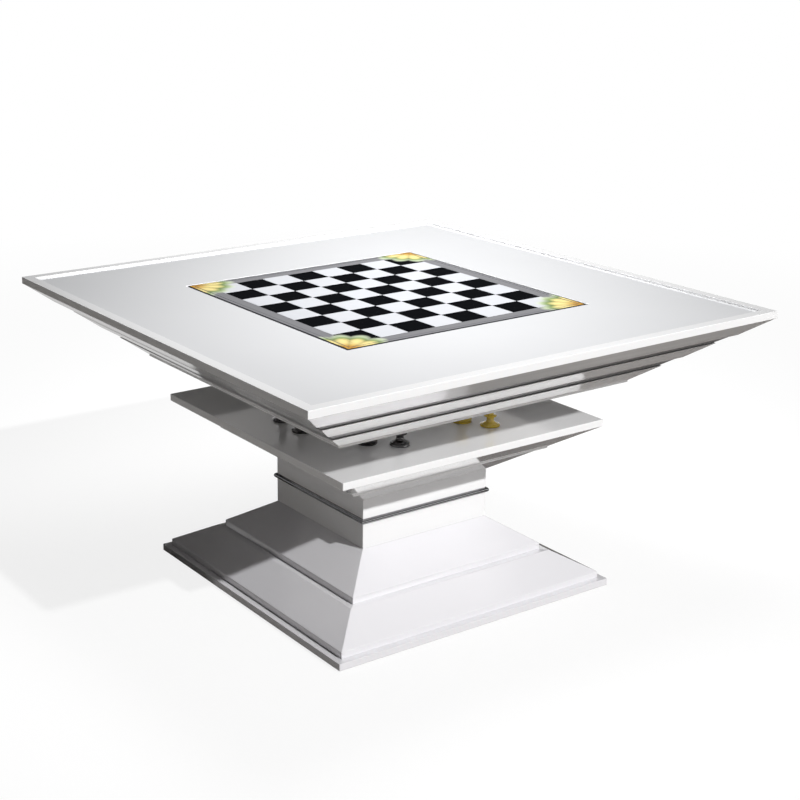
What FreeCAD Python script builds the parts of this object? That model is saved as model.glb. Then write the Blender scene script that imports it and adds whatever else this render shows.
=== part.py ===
import FreeCAD, Part
import Sketcher
import os

# Low square games table: stepped base, column with a metal bead, a shelf for the chess men, and a
# wide top whose underside steps inwards in mitred tiers. Origin on the floor at the middle, +Z up,
# the front is -Y. All lengths in millimetres.

os.makedirs("parts", exist_ok=True)
doc = FreeCAD.newDocument("games_table")

# Driving sizes

SIZES = [
    ("pad_height", 2, "glide pads under the slab"),
    ("pad_diameter", 40, ""),
    ("pad_inset", 48, "pad centre from the slab's edge"),
    ("base_width", 746, "base slab, square"),
    ("slab_thickness", 16, "base slab"),
    ("base_ledge", 16, "slab showing outside the lower plinth"),
    ("plinth_riser", 15, "upright edge at the foot of each plinth tier"),
    ("plinth_seat", 10, "foot of a plinth board that bears on the tier below"),
    ("flare_wall", 34, "level width of a sloping board"),
    ("lower_plinth_height", 60, ""),
    ("lower_plinth_run", 79, "how far the lower plinth slopes in"),
    ("plinth_ledge", 16, "lower plinth showing outside the upper one"),
    ("upper_plinth_height", 73, ""),
    ("column_width", 344, ""),
    ("column_height", 115, ""),
    ("panel_thickness", 18, "column, neck and closing panels"),
    ("corner_block", 30, "side of the blocks in the column's corners"),
    ("bead_radius", 6, "half-round metal bead"),
    ("bead_height", 64, "bead's middle above the column's foot"),
    ("lower_flare_height", 59, "below the shelf"),
    ("flare_step", 6, "upper flare standing outside the lower one"),
    ("flare_lip", 4, "upright edge at the foot of the upper flare"),
    ("upper_flare_height", 59, ""),
    ("shelf_width", 704, ""),
    ("shelf_thickness", 16, ""),
    ("storage_gap", 90, "open height between shelf and top"),
    ("neck_width", 240, ""),
    ("top_width", 1200, ""),
    ("rim_height", 16, ""),
    ("rim_width", 24, ""),
    ("rim_overhang", 1, "rim past the head of the upper step"),
    ("upper_step_height", 41, ""),
    ("upper_step_run", 54, ""),
    ("upper_step_base_width", 40, "level width of its foot"),
    ("upper_step_head_width", 36, "level width of its head"),
    ("upper_strip_height", 20, ""),
    ("upper_strip_run", 31, ""),
    ("middle_step_height", 36, ""),
    ("middle_step_run", 48, ""),
    ("lower_strip_height", 21, ""),
    ("lower_strip_run", 30, ""),
    ("lower_step_height", 41, ""),
    ("lower_step_run", 50, ""),
    ("lower_step_lip", 4, "upright edge at the foot of the lower step"),
    ("strip_recess", 5, "shadow strips behind the steps"),
    ("sub_top_thickness", 18, ""),
    ("top_panel_thickness", 12, ""),
    ("panel_play", 1, "round the sub-top"),
    ("rib_thickness", 18, ""),
    ("rib_end_gap", 12, "ribs short of the closing panel's edge"),
    ("rib_spacing", 320, "between the middles of the two ribs"),
    ("square_size", 70, "one square of the chessboard, with its joint"),
    ("square_joint", 0.7, "joint between two squares"),
    ("square_thickness", 2, ""),
    ("board_border", 37, "plain border round the squares"),
    ("board_thickness", 8, "glass"),
    ("board_play", 3, "open joint round the glass"),
    ("post_width", 90, "core post"),
    ("rod_diameter", 10, "tie rod"),
    ("rod_bore", 11, "holes for the tie rod"),
    ("rod_play", 0.3, "nut and washer round the rod"),
    ("rod_head", 4, "rod past its upper nut"),
    ("nut_width", 17, "across flats"),
    ("nut_height", 8, ""),
    ("washer_diameter", 28, ""),
    ("washer_thickness", 2, ""),
    ("counterbore_diameter", 32, "in the slab's underside"),
    ("man_base_radius", 22, "chess men"),
    ("pawn_height", 56, ""),
    ("rook_height", 52, ""),
    ("bishop_height", 74, ""),
    ("cut_overrun", 5, "how far cutting shapes run past what they cut"),
]

sheet = doc.addObject("Spreadsheet::Sheet", "Sizes")
for row, (alias, size, note) in enumerate(SIZES, start=1):
    sheet.set(f"A{row}", alias)
    sheet.set(f"B{row}", str(size))
    sheet.setAlias(f"B{row}", alias)
    sheet.set(f"C{row}", note)
doc.recompute()

# Heights above the floor, worked out from the driving sizes

LEVELS = [
    ("slab_top", "Sizes.pad_height + Sizes.slab_thickness"),
    ("lower_plinth_top", "Levels.slab_top + Sizes.lower_plinth_height"),
    ("column_foot", "Levels.lower_plinth_top + Sizes.upper_plinth_height"),
    ("bead_middle", "Levels.column_foot + Sizes.bead_height"),
    ("column_top", "Levels.column_foot + Sizes.column_height"),
    ("flare_joint", "Levels.column_top + Sizes.lower_flare_height"),
    ("shelf_under", "Levels.flare_joint + Sizes.upper_flare_height"),
    ("shelf_top", "Levels.shelf_under + Sizes.shelf_thickness"),
    ("step_foot", "Levels.shelf_top + Sizes.storage_gap"),
    ("closing_top", "Levels.step_foot + Sizes.panel_thickness"),
    ("lower_step_top", "Levels.step_foot + Sizes.lower_step_height"),
    ("middle_step_foot", "Levels.lower_step_top + Sizes.lower_strip_height"),
    ("middle_step_top", "Levels.middle_step_foot + Sizes.middle_step_height"),
    ("upper_step_foot", "Levels.middle_step_top + Sizes.upper_strip_height"),
    ("upper_step_top", "Levels.upper_step_foot + Sizes.upper_step_height"),
    ("sub_top_foot", "Levels.upper_step_top - Sizes.sub_top_thickness"),
    ("panel_top", "Levels.upper_step_top + Sizes.top_panel_thickness"),
    ("rim_top", "Levels.upper_step_top + Sizes.rim_height"),
    ("board_foot", "Levels.panel_top - Sizes.board_thickness"),
    ("square_foot", "Levels.panel_top - Sizes.square_thickness"),
    ("lower_washer", "Sizes.pad_height + Sizes.nut_height"),
    ("upper_nut", "Levels.closing_top + Sizes.washer_thickness"),
]

# Distances of faces from the middle of the table

SQUARES_ACROSS = 8
HALVES = [
    ("slab", "Sizes.base_width / 2"),
    ("lower_plinth_foot", "Halves.slab - Sizes.base_ledge"),
    ("lower_plinth_head", "Halves.lower_plinth_foot - Sizes.lower_plinth_run"),
    ("upper_plinth_foot", "Halves.lower_plinth_head - Sizes.plinth_ledge"),
    ("column", "Sizes.column_width / 2"),
    ("column_inside", "Halves.column - Sizes.panel_thickness"),
    ("shelf", "Sizes.shelf_width / 2"),
    ("lower_flare_head", "(Halves.column + Halves.shelf) / 2"),
    ("upper_flare_foot", "Halves.lower_flare_head + Sizes.flare_step"),
    ("neck", "Sizes.neck_width / 2"),
    ("neck_inside", "Halves.neck - Sizes.panel_thickness"),
    ("top", "Sizes.top_width / 2"),
    ("panel", "Halves.top - Sizes.rim_width"),
    ("upper_step_head", "Halves.top - Sizes.rim_overhang"),
    ("upper_step_foot", "Halves.upper_step_head - Sizes.upper_step_run"),
    ("upper_step_inside", "Halves.upper_step_foot - Sizes.upper_step_base_width"),
    ("shoulder", "Halves.upper_step_head - Sizes.upper_step_head_width"),
    ("middle_step_head", "Halves.upper_step_foot - Sizes.upper_strip_run"),
    ("middle_step_foot", "Halves.middle_step_head - Sizes.middle_step_run"),
    ("lower_step_head", "Halves.middle_step_foot - Sizes.lower_strip_run"),
    ("lower_step_foot", "Halves.lower_step_head - Sizes.lower_step_run"),
    ("closing_panel", "Halves.lower_step_foot - Sizes.flare_wall"),
    ("squares", f"{SQUARES_ACROSS} / 2 * Sizes.square_size"),
    ("board", "Halves.squares + Sizes.board_border"),
    ("board_recess", "Halves.board + Sizes.board_play"),
]


def derive(name, rows):
    """A named set of values that follow the sheet."""
    values = doc.addObject("App::VarSet", name)
    for alias, expression in rows:
        values.addProperty("App::PropertyFloat", alias, name)
        values.setExpression(alias, expression)
        doc.recompute()


derive("Levels", LEVELS)
derive("Halves", HALVES)


def now(expression):
    """The present value of an expression in the sizes."""
    return float(sheet.evalExpression(expression))


# Sketches

def origin_plane(body, role):
    """One of a body's own origin planes."""
    return [plane for plane in body.Origin.OriginFeatures if plane.Role == role][0]


def attached_sketch(body, name, role):
    """An empty sketch on one of the body's origin planes."""
    sketch = body.newObject("Sketcher::SketchObject", name)
    sketch.AttachmentSupport = [(origin_plane(body, role), "")]
    sketch.MapMode = "FlatFace"
    return sketch


def hold_point(sketch, segment, end, corner):
    """Tie an end of a segment to the two expressions of its corner."""
    for kind, axis, expression in (("DistanceX", -2, corner[0]), ("DistanceY", -1, corner[1])):
        if expression == "0":
            sketch.addConstraint(Sketcher.Constraint("PointOnObject", segment, end, axis))
            continue
        distance = Sketcher.Constraint(kind, -1, 1, segment, end, now(expression))
        number = sketch.addConstraint(distance)
        sketch.setExpression(f"Constraints[{number}]", expression)


def add_half_round(sketch, start, end):
    """A half circle between two points, swelling out of the outline."""
    chord = end - start
    sideways = FreeCAD.Vector(chord.y, -chord.x, 0).normalize()
    middle = (start + end) / 2 + sideways * chord.Length / 2
    sketch.addGeometry(Part.ArcOfCircle(start, middle, end))


def draw_outline(sketch, corners, half_rounds=()):
    """A closed outline. half_rounds lists the segments that are half circles."""
    points = [FreeCAD.Vector(now(across), now(up), 0) for across, up in corners]
    for index, start in enumerate(points):
        end = points[(index + 1) % len(points)]
        if index in half_rounds:
            add_half_round(sketch, start, end)
        else:
            sketch.addGeometry(Part.LineSegment(start, end))
    for index, corner in enumerate(corners):
        following = (index + 1) % len(corners)
        sketch.addConstraint(Sketcher.Constraint("Coincident", index, 2, following, 1))
        hold_point(sketch, index, 1, corner)
    for index in half_rounds:
        chord = (index + 1) % len(corners)
        sketch.addConstraint(Sketcher.Constraint("PointOnObject", index, 3, chord))


# Boards with mitred ends: the section is drawn for the back and turned to the other sides

SIDES = [("back", 0), ("left", 90), ("front", 180), ("right", 270)]
nodes = []


def mitred_board(label, corners, inner, outer, angle, half_rounds=()):
    """A length of board with this section, cut at 45 degrees at both ends."""
    body = doc.addObject("PartDesign::Body", label)
    section = attached_sketch(body, f"{label}_section", "YZ_Plane")
    draw_outline(section, corners, half_rounds)
    board = body.newObject("PartDesign::Pad", f"{label}_length")
    board.Profile = section
    board.SideType = "Symmetric"
    board.setExpression("Length", f"2 * ({outer})")
    near = f"{inner} - Sizes.cut_overrun"
    far = f"{outer} + Sizes.cut_overrun"
    waste = attached_sketch(body, f"{label}_waste", "XY_Plane")
    draw_outline(waste, [(near, near), (far, near), (far, far)])
    mitre = body.newObject("PartDesign::Pocket", f"{label}_mitre")
    mitre.Profile = waste
    mitre.Type = "ThroughAll"
    mitre.SideType = "Symmetric"
    other = body.newObject("PartDesign::Mirrored", f"{label}_other_mitre")
    other.Originals = [mitre]
    other.MirrorPlane = (origin_plane(body, "YZ_Plane"), [""])
    body.Tip = other
    body.Placement.Rotation = FreeCAD.Rotation(FreeCAD.Vector(0, 0, 1), angle)
    return body


def tier(name, corners, inner, outer, half_rounds=(), one_node=False):
    """The four mitred boards of one tier, each a node, or all in one node."""
    boards = []
    for side, angle in SIDES:
        label = f"{name}_{side}"
        boards.append(mitred_board(label, corners, inner, outer, angle, half_rounds))
    if one_node:
        group(f"{name}s", boards)
    else:
        nodes.extend(boards)


def group(label, members):
    """Several separate pieces of one kind as one node."""
    compound = doc.addObject("Part::Compound", label)
    compound.Links = members
    nodes.append(compound)
    return compound


# Plain blocks, rods and holes

def block(label, half_x, half_y, foot, head, middle_x="0", middle_y="0"):
    """An upright block about its own middle."""
    box = doc.addObject("Part::Box", label)
    box.setExpression("Length", f"2 * ({half_x})")
    box.setExpression("Width", f"2 * ({half_y})")
    box.setExpression("Height", f"{head} - ({foot})")
    box.setExpression("Placement.Base.x", f"{middle_x} - ({half_x})")
    box.setExpression("Placement.Base.y", f"{middle_y} - ({half_y})")
    box.setExpression("Placement.Base.z", foot)
    return box


def rod(label, diameter, foot, head, middle_x="0", middle_y="0"):
    """An upright round piece."""
    cylinder = doc.addObject("Part::Cylinder", label)
    cylinder.setExpression("Radius", f"({diameter}) / 2")
    cylinder.setExpression("Height", f"{head} - ({foot})")
    cylinder.setExpression("Placement.Base.x", middle_x)
    cylinder.setExpression("Placement.Base.y", middle_y)
    cylinder.setExpression("Placement.Base.z", foot)
    return cylinder


def cut(label, stock, *tools):
    """The stock with each tool's shape taken away."""
    left = stock
    for number, tool in enumerate(tools, start=1):
        last = number == len(tools)
        piece = doc.addObject("Part::Cut", label if last else f"{label}_cut_{number}")
        piece.Base = left
        piece.Tool = tool
        left = piece
    return left


def rod_hole(label, foot, head):
    """A through hole on the table's axis for the tie rod."""
    below = f"{foot} - Sizes.cut_overrun"
    above = f"{head} + Sizes.cut_overrun"
    return rod(f"{label}_bore", "Sizes.rod_bore", below, above)


# Base slab on four glide pads, with a counterbore for the lower nut

slab = block("slab_stock", "Halves.slab", "Halves.slab", "Sizes.pad_height", "Levels.slab_top")
counterbore = rod(
    "slab_counterbore",
    "Sizes.counterbore_diameter",
    "Sizes.pad_height - Sizes.cut_overrun",
    "Levels.lower_washer + Sizes.washer_thickness",
)
slab_bore = rod_hole("slab", "Sizes.pad_height", "Levels.slab_top")
nodes.append(cut("base_slab", slab, counterbore, slab_bore))

pads = []
for number, (x_side, y_side) in enumerate([(1, 1), (1, -1), (-1, 1), (-1, -1)], start=1):
    x = f"{x_side} * (Halves.slab - Sizes.pad_inset)"
    y = f"{y_side} * (Halves.slab - Sizes.pad_inset)"
    pads.append(rod(f"glide_pad_{number}", "Sizes.pad_diameter", "0", "Sizes.pad_height", x, y))
group("glide_pads", pads)

# Plinth: two tiers of sloping boards, each with an upright edge at its foot

tier(
    "lower_plinth",
    [
        ("Halves.lower_plinth_foot", "Levels.slab_top"),
        ("Halves.lower_plinth_foot", "Levels.slab_top + Sizes.plinth_riser"),
        ("Halves.lower_plinth_head", "Levels.lower_plinth_top"),
        ("Halves.lower_plinth_head - Sizes.flare_wall", "Levels.lower_plinth_top"),
        ("Halves.lower_plinth_foot - Sizes.plinth_seat", "Levels.slab_top"),
    ],
    inner="Halves.lower_plinth_head - Sizes.flare_wall",
    outer="Halves.lower_plinth_foot",
)
tier(
    "upper_plinth",
    [
        ("Halves.upper_plinth_foot", "Levels.lower_plinth_top"),
        ("Halves.upper_plinth_foot", "Levels.lower_plinth_top + Sizes.plinth_riser"),
        ("Halves.column", "Levels.column_foot"),
        ("Halves.column - Sizes.flare_wall", "Levels.column_foot"),
        ("Halves.upper_plinth_foot - Sizes.plinth_seat", "Levels.lower_plinth_top"),
    ],
    inner="Halves.column - Sizes.flare_wall",
    outer="Halves.upper_plinth_foot",
)

# Column of four panels on blocks, with a half-round metal bead planted round it

tier(
    "column_panel",
    [
        ("Halves.column", "Levels.column_foot"),
        ("Halves.column", "Levels.column_top"),
        ("Halves.column_inside", "Levels.column_top"),
        ("Halves.column_inside", "Levels.column_foot"),
    ],
    inner="Halves.column_inside",
    outer="Halves.column",
)
tier(
    "column_bead",
    [
        ("Halves.column", "Levels.bead_middle - Sizes.bead_radius"),
        ("Halves.column", "Levels.bead_middle + Sizes.bead_radius"),
    ],
    inner="Halves.column",
    outer="Halves.column + Sizes.bead_radius",
    half_rounds=[0],
    one_node=True,
)
blocks = []
for number, (x_side, y_side) in enumerate([(1, 1), (1, -1), (-1, 1), (-1, -1)], start=1):
    half = "Sizes.corner_block / 2"
    x = f"{x_side} * (Halves.column_inside - Sizes.corner_block / 2)"
    y = f"{y_side} * (Halves.column_inside - Sizes.corner_block / 2)"
    label = f"corner_block_{number}"
    blocks.append(block(label, half, half, "Levels.column_foot", "Levels.column_top", x, y))
group("column_corner_blocks", blocks)

# Core post from the slab to the shelf

post_half = "Sizes.post_width / 2"
post = block("post_stock", post_half, post_half, "Levels.slab_top", "Levels.shelf_under")
nodes.append(cut("core_post", post, rod_hole("post", "Levels.slab_top", "Levels.shelf_under")))

# Flares under the shelf

tier(
    "lower_flare",
    [
        ("Halves.column", "Levels.column_top"),
        ("Halves.lower_flare_head", "Levels.flare_joint"),
        ("Halves.lower_flare_head - Sizes.flare_wall", "Levels.flare_joint"),
        ("Halves.column - Sizes.flare_wall", "Levels.column_top"),
    ],
    inner="Halves.column - Sizes.flare_wall",
    outer="Halves.lower_flare_head",
)
tier(
    "upper_flare",
    [
        ("Halves.upper_flare_foot", "Levels.flare_joint"),
        ("Halves.upper_flare_foot", "Levels.flare_joint + Sizes.flare_lip"),
        ("Halves.shelf", "Levels.shelf_under"),
        ("Halves.shelf - Sizes.flare_wall", "Levels.shelf_under"),
        ("Halves.upper_flare_foot - Sizes.flare_wall", "Levels.flare_joint"),
    ],
    inner="Halves.upper_flare_foot - Sizes.flare_wall",
    outer="Halves.shelf",
)

# Shelf, and the neck that carries the top above it

shelf = block("shelf_stock", "Halves.shelf", "Halves.shelf", "Levels.shelf_under", "Levels.shelf_top")
nodes.append(cut("shelf_slab", shelf, rod_hole("shelf", "Levels.shelf_under", "Levels.shelf_top")))
tier(
    "neck_panel",
    [
        ("Halves.neck", "Levels.shelf_top"),
        ("Halves.neck", "Levels.step_foot"),
        ("Halves.neck_inside", "Levels.step_foot"),
        ("Halves.neck_inside", "Levels.shelf_top"),
    ],
    inner="Halves.neck_inside",
    outer="Halves.neck",
)

# Underside of the top: closing panel, three steps, with recessed shadow strips between

closing = block(
    "closing_stock", "Halves.closing_panel", "Halves.closing_panel", "Levels.step_foot", "Levels.closing_top"
)
nodes.append(cut("closing_panel", closing, rod_hole("closing", "Levels.step_foot", "Levels.closing_top")))
tier(
    "lower_step",
    [
        ("Halves.lower_step_foot", "Levels.step_foot"),
        ("Halves.lower_step_foot", "Levels.step_foot + Sizes.lower_step_lip"),
        ("Halves.lower_step_head", "Levels.lower_step_top"),
        ("Halves.lower_step_head - Sizes.flare_wall", "Levels.lower_step_top"),
        ("Halves.closing_panel", "Levels.closing_top"),
        ("Halves.closing_panel", "Levels.step_foot"),
    ],
    inner="Halves.closing_panel",
    outer="Halves.lower_step_head",
)
tier(
    "lower_shadow_strip",
    [
        ("Halves.lower_step_head - Sizes.strip_recess", "Levels.lower_step_top"),
        ("Halves.middle_step_foot - Sizes.strip_recess", "Levels.middle_step_foot"),
        ("Halves.middle_step_foot - Sizes.flare_wall", "Levels.middle_step_foot"),
        ("Halves.lower_step_head - Sizes.flare_wall", "Levels.lower_step_top"),
    ],
    inner="Halves.lower_step_head - Sizes.flare_wall",
    outer="Halves.middle_step_foot",
    one_node=True,
)
tier(
    "middle_step",
    [
        ("Halves.middle_step_foot", "Levels.middle_step_foot"),
        ("Halves.middle_step_head", "Levels.middle_step_top"),
        ("Halves.middle_step_head - Sizes.flare_wall", "Levels.middle_step_top"),
        ("Halves.middle_step_foot - Sizes.flare_wall", "Levels.middle_step_foot"),
    ],
    inner="Halves.middle_step_foot - Sizes.flare_wall",
    outer="Halves.middle_step_head",
)
tier(
    "upper_shadow_strip",
    [
        ("Halves.middle_step_head - Sizes.strip_recess", "Levels.middle_step_top"),
        ("Halves.upper_step_foot - Sizes.strip_recess", "Levels.upper_step_foot"),
        ("Halves.upper_step_foot - Sizes.flare_wall", "Levels.upper_step_foot"),
        ("Halves.middle_step_head - Sizes.flare_wall", "Levels.middle_step_top"),
    ],
    inner="Halves.middle_step_head - Sizes.flare_wall",
    outer="Halves.upper_step_foot",
    one_node=True,
)
tier(
    "upper_step",
    [
        ("Halves.upper_step_foot", "Levels.upper_step_foot"),
        ("Halves.upper_step_head", "Levels.upper_step_top"),
        ("Halves.shoulder", "Levels.upper_step_top"),
        ("Halves.shoulder", "Levels.sub_top_foot"),
        ("Halves.upper_step_inside", "Levels.sub_top_foot"),
        ("Halves.upper_step_inside", "Levels.upper_step_foot"),
    ],
    inner="Halves.upper_step_inside",
    outer="Halves.upper_step_head",
)

# Ribs and sub-top inside the top

ribs = []
for side, sign in (("left", -1), ("right", 1)):
    ribs.append(
        block(
            f"top_rib_{side}",
            "Sizes.rib_thickness / 2",
            "Halves.closing_panel - Sizes.rib_end_gap",
            "Levels.closing_top",
            "Levels.sub_top_foot",
            middle_x=f"{sign} * Sizes.rib_spacing / 2",
        )
    )
group("top_ribs", ribs)
sub_top_half = "Halves.shoulder - Sizes.panel_play"
nodes.append(block("sub_top", sub_top_half, sub_top_half, "Levels.sub_top_foot", "Levels.upper_step_top"))

# Rim rails round the inset top panel, which has a recess for the board

tier(
    "rim_rail",
    [
        ("Halves.panel", "Levels.upper_step_top"),
        ("Halves.top", "Levels.upper_step_top"),
        ("Halves.top", "Levels.rim_top"),
        ("Halves.panel", "Levels.rim_top"),
    ],
    inner="Halves.panel",
    outer="Halves.top",
)
panel = block("panel_stock", "Halves.panel", "Halves.panel", "Levels.upper_step_top", "Levels.panel_top")
recess = block(
    "board_recess",
    "Halves.board_recess",
    "Halves.board_recess",
    "Levels.board_foot",
    "Levels.panel_top + Sizes.cut_overrun",
)
nodes.append(cut("top_panel", panel, recess))

# Chessboard: glass with a shallow bed, and sixty-four tiles in it

glass = block("glass_stock", "Halves.board", "Halves.board", "Levels.board_foot", "Levels.panel_top")
above_panel = "Levels.panel_top + Sizes.cut_overrun"
bed = block("tile_bed", "Halves.squares", "Halves.squares", "Levels.square_foot", above_panel)
nodes.append(cut("board_glass", glass, bed))

squares = {"dark": [], "light": []}
for column in range(SQUARES_ACROSS):
    for rank in range(SQUARES_ACROSS):
        shade = "dark" if (column + rank) % 2 == 0 else "light"
        half = "(Sizes.square_size - Sizes.square_joint) / 2"
        x = f"({column} + 1 / 2) * Sizes.square_size - Halves.squares"
        y = f"({rank} + 1 / 2) * Sizes.square_size - Halves.squares"
        label = f"{shade}_square_{column}_{rank}"
        squares[shade].append(block(label, half, half, "Levels.square_foot", "Levels.panel_top", x, y))
group("dark_squares", squares["dark"])
group("light_squares", squares["light"])

# Tie rod from the slab to the closing panel, with a nut and a washer at each end

rod_end = "Levels.upper_nut + Sizes.nut_height + Sizes.rod_head"
nodes.append(rod("tie_rod", "Sizes.rod_diameter", "Sizes.pad_height", rod_end))


def rod_ring(label, stock, foot, head):
    """A nut or washer bored to pass the rod."""
    below = f"{foot} - Sizes.cut_overrun"
    above = f"{head} + Sizes.cut_overrun"
    hole = rod(f"{label}_hole", "Sizes.rod_diameter + 2 * Sizes.rod_play", below, above)
    return cut(label, stock, hole)


nuts = []
washers = []
for end, nut_foot, washer_foot in (
    ("lower", "Sizes.pad_height", "Levels.lower_washer"),
    ("upper", "Levels.upper_nut", "Levels.closing_top"),
):
    hexagon = doc.addObject("Part::Prism", f"{end}_nut_stock")
    hexagon.Polygon = 6
    hexagon.setExpression("Circumradius", "Sizes.nut_width / sqrt(3)")
    hexagon.setExpression("Height", "Sizes.nut_height")
    hexagon.setExpression("Placement.Base.z", nut_foot)
    nut_head = f"{nut_foot} + Sizes.nut_height"
    nuts.append(rod_ring(f"{end}_nut", hexagon, nut_foot, nut_head))
    washer_head = f"{washer_foot} + Sizes.washer_thickness"
    disc = rod(f"{end}_washer_stock", "Sizes.washer_diameter", washer_foot, washer_head)
    washers.append(rod_ring(f"{end}_washer", disc, washer_foot, washer_head))
group("tie_rod_nuts", nuts)
group("tie_rod_washers", washers)

# Chess men on the shelf, turned. Outlines are shares of the base radius and of the height.

PAWN_SHARES = [(0, 0), (1, 0), (1, 0.1), (0.38, 0.32), (0.72, 0.5), (0.38, 0.5), (0.58, 0.8), (0, 1)]
BISHOP_SHARES = [
    (0, 0), (1, 0), (1, 0.08), (0.38, 0.24), (0.72, 0.4), (0.34, 0.4), (0.34, 0.64), (0.6, 0.64), (0.36, 0.7),
    (0.5, 0.84), (0, 1),
]
ROOK_SHARES = [
    (0, 0), (1, 0), (1, 0.12), (0.5, 0.34), (0.5, 0.68), (0.72, 0.68), (0.72, 1), (0.5, 1), (0.5, 0.92),
    (0, 0.92),
]
OUTLINE_SHARES = {"pawn": PAWN_SHARES, "bishop": BISHOP_SHARES, "rook": ROOK_SHARES}

# Colour, kind and place of each man, its place as shares of the shelf's half width
MEN_SHARES = [
    ("dark", "pawn", -0.68, 0.12),
    ("dark", "pawn", -0.695, -0.12),
    ("dark", "rook", -0.49, -0.525),
    ("dark", "bishop", -0.345, -0.66),
    ("amber", "pawn", 0.335, -0.69),
    ("amber", "rook", 0.24, -0.53),
]


def chess_man(label, kind, x_share, y_share):
    """One turned man, standing on the shelf."""
    body = doc.addObject("PartDesign::Body", label)
    sketch = attached_sketch(body, f"{label}_outline", "XZ_Plane")
    corners = []
    for radius_share, height_share in OUTLINE_SHARES[kind]:
        across = f"{radius_share} * Sizes.man_base_radius" if radius_share else "0"
        up = f"{height_share} * Sizes.{kind}_height" if height_share else "0"
        corners.append((across, up))
    draw_outline(sketch, corners)
    turned = body.newObject("PartDesign::Revolution", f"{label}_turned")
    turned.Profile = sketch
    turned.ReferenceAxis = (sketch, ["V_Axis"])
    turned.Angle = 360
    body.setExpression("Placement.Base.x", f"{x_share} * Halves.shelf")
    body.setExpression("Placement.Base.y", f"{y_share} * Halves.shelf")
    body.setExpression("Placement.Base.z", "Levels.shelf_top")
    return body


men = {"dark": [], "amber": []}
for number, (colour, kind, x_share, y_share) in enumerate(MEN_SHARES, start=1):
    men[colour].append(chess_man(f"{colour}_{kind}_{number}", kind, x_share, y_share))
group("dark_chess_men", men["dark"])
group("amber_chess_men", men["amber"])

# Check everything, then write one file for each node

doc.recompute()
for item in doc.Objects:
    if "Invalid" in item.State or "Error" in item.State:
        raise RuntimeError(f"{item.Label} failed: {item.State}")
for node in nodes:
    if node.Shape.isNull() or not node.Shape.isValid():
        raise RuntimeError(f"{node.Label} has no valid shape")
    node.Shape.exportStep(f"parts/{node.Label}.step")
print(len(nodes), "nodes,", sum(len(node.Shape.Solids) for node in nodes), "solids")
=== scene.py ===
import math

import bpy
from mathutils import Euler, Matrix, Vector


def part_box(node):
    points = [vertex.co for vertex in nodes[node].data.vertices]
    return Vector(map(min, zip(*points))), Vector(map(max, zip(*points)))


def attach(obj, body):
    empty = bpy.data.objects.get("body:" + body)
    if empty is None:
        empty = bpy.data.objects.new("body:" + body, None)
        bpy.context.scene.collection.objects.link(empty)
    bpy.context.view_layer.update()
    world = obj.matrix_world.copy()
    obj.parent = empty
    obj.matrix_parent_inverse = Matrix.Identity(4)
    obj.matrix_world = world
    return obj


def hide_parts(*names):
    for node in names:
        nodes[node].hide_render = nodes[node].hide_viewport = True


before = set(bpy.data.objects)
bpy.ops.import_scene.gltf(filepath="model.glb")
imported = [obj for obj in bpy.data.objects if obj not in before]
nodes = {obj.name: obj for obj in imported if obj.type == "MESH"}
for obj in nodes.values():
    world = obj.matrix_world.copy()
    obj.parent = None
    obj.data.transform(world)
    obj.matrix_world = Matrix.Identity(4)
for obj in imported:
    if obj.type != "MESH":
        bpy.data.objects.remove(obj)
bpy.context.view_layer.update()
bpy.context.scene.view_settings.view_transform = "Standard"

# Camera: a long lens about 1.5 m above the floor, looking down at the table's near corner. The table
# stands right of the lens axis and a little below it, and the shift brings it back to the middle.
CAMERA_PLACE = (-1.98028, -2.67036, 1.49162)
CAMERA_DOWN, CAMERA_TURN, CAMERA_ROLL = 0.303662, -0.588268, -0.002754
CAMERA_LENS, CAMERA_SENSOR = 69.048, 36.0
CAMERA_SHIFT = (0.11475, -0.01881)
camera_data = bpy.data.cameras.new("camera")
camera_data.lens = CAMERA_LENS
camera_data.sensor_width = CAMERA_SENSOR
camera_data.shift_x, camera_data.shift_y = CAMERA_SHIFT
camera = bpy.data.objects.new("camera", camera_data)
bpy.context.scene.collection.objects.link(camera)
camera.location = CAMERA_PLACE
level_turn = Euler((math.pi / 2 - CAMERA_DOWN, 0, CAMERA_TURN)).to_matrix()
camera.rotation_euler = (level_turn @ Matrix.Rotation(CAMERA_ROLL, 3, "Z")).to_euler()
bpy.context.scene.camera = camera


# Floor: one wide pale sheet. To the lens it is white further out and keeps the table's soft shadow
# near its foot. The gloss sees it dark in front of and beside the table, and bright behind it.
FLOOR_SIZE, FLOOR_CUTS = 90.0, 2
FLOOR_BOUNCE, FLOOR_IN_GLOSS = (0.57, 0.55, 0.53, 1), (0.11, 0.1, 0.094, 1)
FLOOR_WHITE, WHITE_GLOW = (0.98, 0.98, 0.98, 1), 1.0
SHADOW_REACH, LENS_GLOW = (1.6, 4.0), (0.84, 1.0)
BEHIND_REACH, GLOSS_GLOW = (0.5, 1.3), (0.0, 0.5)
BESIDE_REACH, RISING = (-1.0, -0.6), (0.0, 1.0)
MIX_SHARE, MIX_FIRST, MIX_SECOND, MIX_COLOUR = 0, 6, 7, 2


def feed(tree, socket, value):
    if isinstance(value, bpy.types.NodeSocket):
        tree.links.new(value, socket)
    else:
        socket.default_value = value


def add_node(tree, kind, values=None, **settings):
    made = tree.nodes.new(kind)
    for name, value in settings.items():
        setattr(made, name, value)
    for name, value in (values or {}).items():
        feed(tree, made.inputs[name], value)
    return made


def object_place(tree):
    return add_node(tree, "ShaderNodeTexCoord").outputs["Object"]


def math_node(tree, operation, *values):
    return add_node(tree, "ShaderNodeMath", dict(enumerate(values)), operation=operation).outputs[0]


def ranged(tree, value, given, wanted):
    made = add_node(tree, "ShaderNodeMapRange", {"Value": value, "From Min": given[0], "From Max": given[1],
                                                  "To Min": wanted[0], "To Max": wanted[1]})
    return made.outputs["Result"]


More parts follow.
